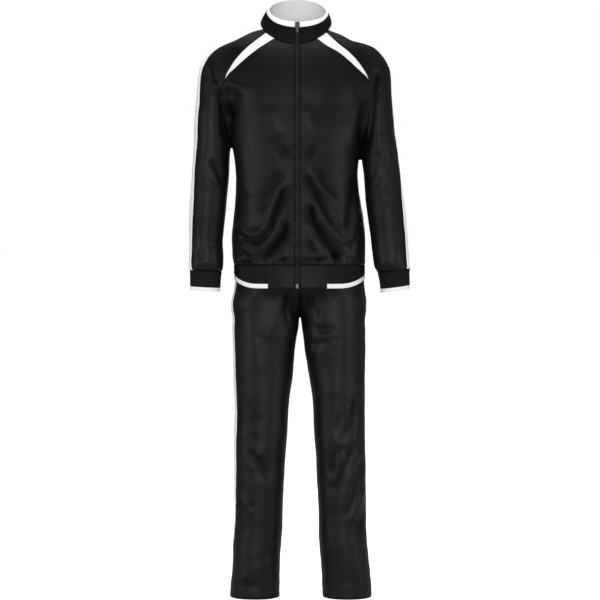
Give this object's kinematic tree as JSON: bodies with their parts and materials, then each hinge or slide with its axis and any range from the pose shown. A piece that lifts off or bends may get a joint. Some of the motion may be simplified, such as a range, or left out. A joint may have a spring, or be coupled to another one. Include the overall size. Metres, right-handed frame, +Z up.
{
  "type": "tracksuit",
  "caption": "Tracksuit in its wearer's pose: zip jacket with raglan sleeves, white inserts and stripes, rib hem and cuffs, and straight trousers.",
  "frame": {"origin": "middle of the neck seam, where the garment rests on its wearer's shoulders", "axes": "+Z up the wearer, -Y out of the chest, +X toward the wearer's left; left and right in node names are as seen from the front"},
  "size_m": [0.5941, 0.2571, 1.6178],
  "materials": {
    "black_tricot": "smooth polyester tricot with a soft sheen",
    "white_tricot": "smooth polyester tricot",
    "black_rib": "fine rib knit",
    "white_rib": "fine rib knit",
    "zip_tape": "woven tape with coil teeth",
    "dark_metal": "dark lacquered metal",
    "silver_metal": "bright metal"
  },
  "bodies": {
    "garment": {"front_left": "black_tricot", "front_right": "black_tricot", "back": "black_tricot", "sleeve_front_left": "black_tricot", "sleeve_back_left": "black_tricot", "sleeve_stripe_left": "white_tricot", "raglan_insert_left": "white_tricot", "collar_left": "black_rib", "hem_panel_left": "black_tricot", "cuff_left": "black_rib", "cuff_tip_left": "white_rib", "zip_tape_left": "zip_tape", "leg_front_left": "black_tricot", "leg_back_left": "black_tricot", "leg_stripe_left": "white_tricot", "sleeve_front_right": "black_tricot", "sleeve_back_right": "black_tricot", "sleeve_stripe_right": "white_tricot", "raglan_insert_right": "white_tricot", "collar_right": "black_rib", "hem_panel_right": "black_tricot", "cuff_right": "black_rib", "cuff_tip_right": "white_rib", "zip_tape_right": "zip_tape", "leg_front_right": "black_tricot", "leg_back_right": "black_tricot", "leg_stripe_right": "white_tricot", "collar_band": "white_tricot", "collar_lining": "white_tricot", "hem_rib": "black_rib", "hem_tip": "white_rib", "waistband": "black_rib", "zip_slider": "dark_metal", "zip_box": "silver_metal"},
    "pull": {"zip_pull": "dark_metal"}
  },
  "joints": [
    {"name": "pull_hinge", "type": "hinge", "parent": "garment", "child": "pull", "pos_m": [-0.0005, -0.08123, 0.01185], "axis": [1, 0, 0], "range_deg": [-120, 0]}
  ]
}
